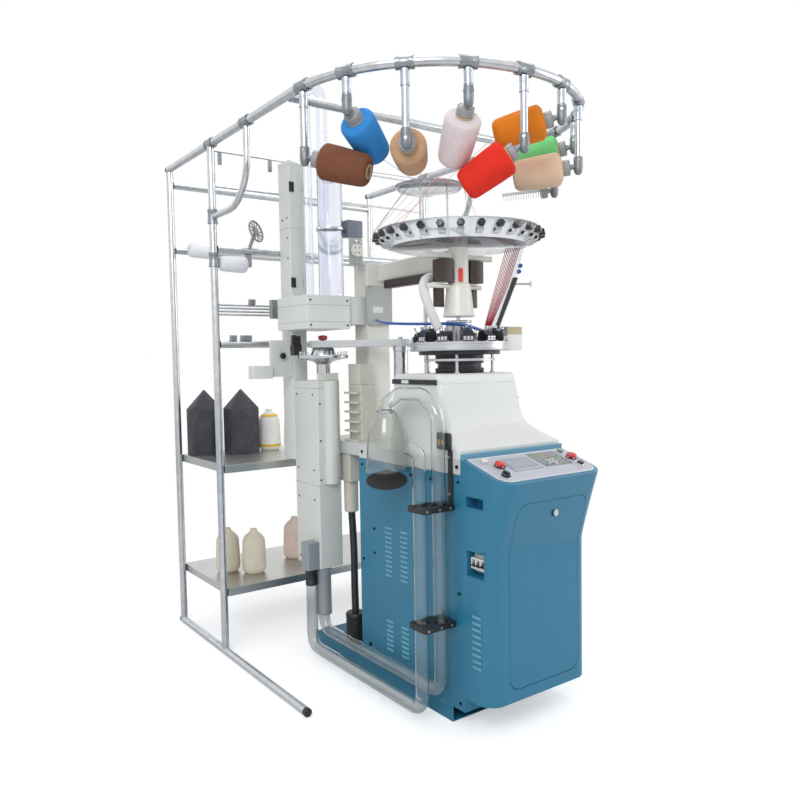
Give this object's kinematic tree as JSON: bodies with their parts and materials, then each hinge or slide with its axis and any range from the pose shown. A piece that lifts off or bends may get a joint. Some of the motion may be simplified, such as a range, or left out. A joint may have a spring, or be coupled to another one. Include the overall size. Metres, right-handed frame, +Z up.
{
  "type": "circular sock knitting machine",
  "caption": "Computerised circular sock knitting machine with yarn rack, sloped console, knitting head, toe-closing unit and clear suction pipes.",
  "frame": {"origin": "on the floor under the middle of the whole footprint", "axes": "+Z up, -Y towards the operator at the console, +X to the operator's right"},
  "size_m": [1.218, 1.944, 2.53],
  "materials": {
    "chrome_tube": "polished",
    "cast_grey": "satin",
    "black_plastic": "matte",
    "black_rubber": "matte",
    "shelf_steel": "brushed",
    "yarn": "matte",
    "smoke_hood": "satin",
    "teal_paint": "satin",
    "light_paint": "satin",
    "cover_white": "satin",
    "panel_grey": "satin",
    "screen_gloss": "gloss",
    "red_plastic": "gloss",
    "white_plastic": "gloss",
    "green_plastic": "gloss",
    "machined_steel": "satin",
    "bright_steel": "polished",
    "cream_paint": "satin",
    "clear_glass": "gloss",
    "blue_hose": "gloss",
    "pale_hose": "satin",
    "blue_grey": "satin",
    "tower_white": "satin",
    "arm_grey": "satin"
  },
  "bodies": {
    "machine": {"air_hose": "blue_hose", "base_channels": "teal_paint", "cabinet_shell": "teal_paint", "cam_boxes": "machined_steel", "circuit_breaker": "white_plastic", "clear_tubes": "clear_glass", "cone_arms": "chrome_tube", "cone_holders": "cast_grey", "cone_hoods": "smoke_hood", "cone_knuckles": "cast_grey", "console_housing": "teal_paint", "control_panel": "panel_grey", "cylinder_column": "machined_steel", "dark_drives": "black_plastic", "display_and_keypad": "screen_gloss", "elastic_feeder": "blue_grey", "feeder_disc": "clear_glass", "feeder_units": "black_plastic", "glass_pipes": "clear_glass", "head_cap": "red_plastic", "head_housing": "cream_paint", "link_ring": "bright_steel", "machine_bed": "light_paint", "pipe_clips": "black_plastic", "rack_braces": "chrome_tube", "rack_legs": "chrome_tube", "rack_rails": "chrome_tube", "rear_column": "cream_paint", "rear_hose_and_pump": "black_rubber", "ring_tube": "chrome_tube", "ring_yarn_cones": "yarn", "shelf_yarn_cones": "yarn", "shelves": "shelf_steel", "side_panels": "teal_paint", "suction_bell": "clear_glass", "suction_hose": "pale_hose", "table_cover": "cover_white", "toe_drives": "cream_paint", "tower_housings": "tower_white", "tube_clamps": "cast_grey", "tube_end_caps": "black_plastic", "yarn_ramp": "clear_glass", "yarn_threads": "yarn"},
    "cylinder": {"needle_cylinder": "machined_steel"},
    "dial_plate": {"dial": "machined_steel"},
    "case_door": {"console_door": "teal_paint"},
    "cam_lock": {"door_lock": "machined_steel"},
    "stop_left": {"estop_left": "red_plastic"},
    "stop_right": {"estop_right": "red_plastic"},
    "white_push": {"start_button": "white_plastic"},
    "green_push": {"green_button": "green_plastic"},
    "black_push": {"black_button": "black_plastic"},
    "mode_knob": {"selector_knob": "black_plastic"},
    "breaker_levers": {"breaker_toggle": "black_plastic"},
    "flap": {"bell_flap": "black_rubber"},
    "swing_arm": {"transfer_arm": "arm_grey"},
    "arm_screw": {"hand_wheel": "red_plastic"},
    "measuring_wheel": {"feeder_wheel": "white_plastic"},
    "guide_wheel": {"ramp_wheel": "white_plastic"}
  },
  "joints": [
    {"name": "cylinder_spin", "type": "hinge", "parent": "machine", "child": "cylinder", "pos_m": [0.05, -0.45, 1.4], "axis": [0, 0, 1], "continuous": true},
    {"name": "dial_spin", "type": "hinge", "parent": "machine", "child": "dial_plate", "pos_m": [0.05, -0.45, 1.45], "axis": [0, 0, 1], "continuous": true},
    {"name": "door_hinge", "type": "hinge", "parent": "machine", "child": "case_door", "pos_m": [0.066, -0.87, 0.216], "axis": [1, 0, 0], "range_deg": [0, 85]},
    {"name": "lock_turn", "type": "hinge", "parent": "case_door", "child": "cam_lock", "pos_m": [0.078, -0.9, 0.765], "axis": [0, -1, 0], "range_deg": [0, 90]},
    {"name": "stop_left_press", "type": "slide", "parent": "machine", "child": "stop_left", "axis": [0, 0.3003, -0.9539], "range_m": [0, 0.004]},
    {"name": "stop_right_press", "type": "slide", "parent": "machine", "child": "stop_right", "axis": [0, 0.3003, -0.9539], "range_m": [0, 0.004]},
    {"name": "white_press", "type": "slide", "parent": "machine", "child": "white_push", "axis": [0, 0.3003, -0.9539], "range_m": [0, 0.004], "stiffness_N_per_m": 500, "springref_m": -0.002},
    {"name": "green_press", "type": "slide", "parent": "machine", "child": "green_push", "axis": [0, 0.3003, -0.9539], "range_m": [0, 0.004], "stiffness_N_per_m": 500, "springref_m": -0.002},
    {"name": "black_press", "type": "slide", "parent": "machine", "child": "black_push", "axis": [0, 0.3003, -0.9539], "range_m": [0, 0.004], "stiffness_N_per_m": 500, "springref_m": -0.002},
    {"name": "mode_turn", "type": "hinge", "parent": "machine", "child": "mode_knob", "pos_m": [-0.14, -0.9, 0.9096], "axis": [0, -0.3003, 0.9539], "range_deg": [-45, 45]},
    {"name": "breaker_throw", "type": "hinge", "parent": "machine", "child": "breaker_levers", "pos_m": [-0.178, -0.811, 0.604], "axis": [0, 1, 0], "range_deg": [0, 30]},
    {"name": "flap_swing", "type": "hinge", "parent": "machine", "child": "flap", "pos_m": [-0.226, -0.3355, 0.874], "axis": [0.8097, -0.5868, 0], "range_deg": [-18, 40]},
    {"name": "arm_swing", "type": "hinge", "parent": "machine", "child": "swing_arm", "pos_m": [0.017, -0.105, 1.377], "axis": [0, 0, 1], "range_deg": [0, 85]},
    {"name": "screw_turn", "type": "hinge", "parent": "swing_arm", "child": "arm_screw", "pos_m": [-0.217, 0.15, 1.4], "axis": [0, 0, 1], "continuous": true},
    {"name": "measuring_spin", "type": "hinge", "parent": "machine", "child": "measuring_wheel", "pos_m": [-0.09, 0.067, 1.78], "axis": [0, 1, 0], "continuous": true},
    {"name": "guide_spin", "type": "hinge", "parent": "machine", "child": "guide_wheel", "pos_m": [0.2781, -0.6153, 1.592], "axis": [0.8097, -0.5868, 0], "continuous": true}
  ],
  "couplings": [
    {"joint": "dial_spin", "follows": "cylinder_spin", "ratio": 1}
  ]
}
